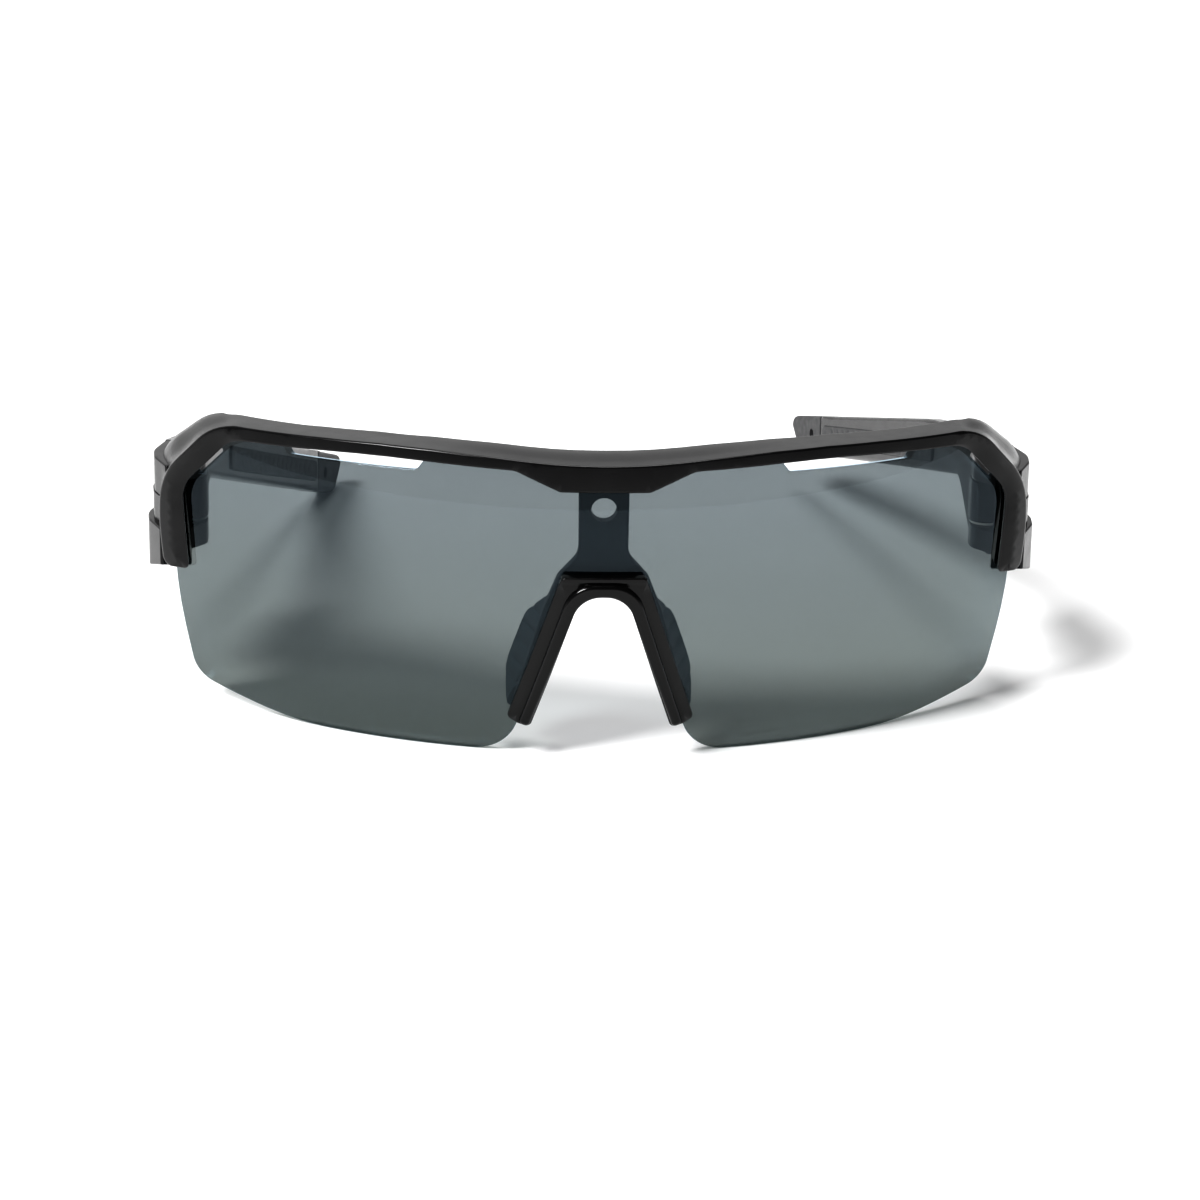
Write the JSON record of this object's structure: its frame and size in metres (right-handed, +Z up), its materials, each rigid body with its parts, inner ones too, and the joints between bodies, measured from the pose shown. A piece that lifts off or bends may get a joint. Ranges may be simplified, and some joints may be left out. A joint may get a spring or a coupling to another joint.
{
  "type": "sport sunglasses",
  "caption": "Wraparound sport sunglasses with a smoke shield lens in a half-rim frame, a clip-on nose piece with soft pads, and folding temples with soft tips.",
  "frame": {"origin": "on the resting surface, under the middle of the open glasses' bounding box", "axes": "+X to the wearer's left, +Y from the lens back to the temple tips, +Z up from the resting surface"},
  "size_m": [0.1444, 0.1622, 0.0486],
  "materials": {
    "frame_plastic": "satin moulded nylon",
    "lens_smoke": "gloss smoke-grey polycarbonate",
    "nose_clip_plastic": "gloss",
    "carrier_plastic": "satin",
    "pad_rubber": "matt",
    "grip_rubber": "matt",
    "inlay_plastic": "gloss",
    "hinge_steel": "turned",
    "insert_brass": "turned",
    "washer_nylon": "natural"
  },
  "bodies": {
    "front": {"front_frame": "frame_plastic", "shield_lens": "lens_smoke", "nose_bridge_clip": "nose_clip_plastic", "nose_carrier": "carrier_plastic", "left_nose_pad": "pad_rubber", "right_nose_pad": "pad_rubber", "left_hinge_screw": "hinge_steel", "right_hinge_screw": "hinge_steel", "left_hinge_insert": "insert_brass", "right_hinge_insert": "insert_brass", "left_hinge_washers": "washer_nylon", "right_hinge_washers": "washer_nylon"},
    "left_arm": {"left_temple": "frame_plastic", "left_temple_inlay": "inlay_plastic", "left_temple_grip": "grip_rubber", "left_tip_cap": "grip_rubber"},
    "right_arm": {"right_temple": "frame_plastic", "right_temple_inlay": "inlay_plastic", "right_temple_grip": "grip_rubber", "right_tip_cap": "grip_rubber"}
  },
  "joints": [
    {"name": "left_temple_fold", "type": "hinge", "parent": "front", "child": "left_arm", "pos_m": [0.0656, -0.0323, 0.0295], "axis": [0, 0, 1], "range_deg": [0, 92]},
    {"name": "right_temple_fold", "type": "hinge", "parent": "front", "child": "right_arm", "pos_m": [-0.0656, -0.0323, 0.0295], "axis": [0, 0, -1], "range_deg": [0, 82]}
  ]
}
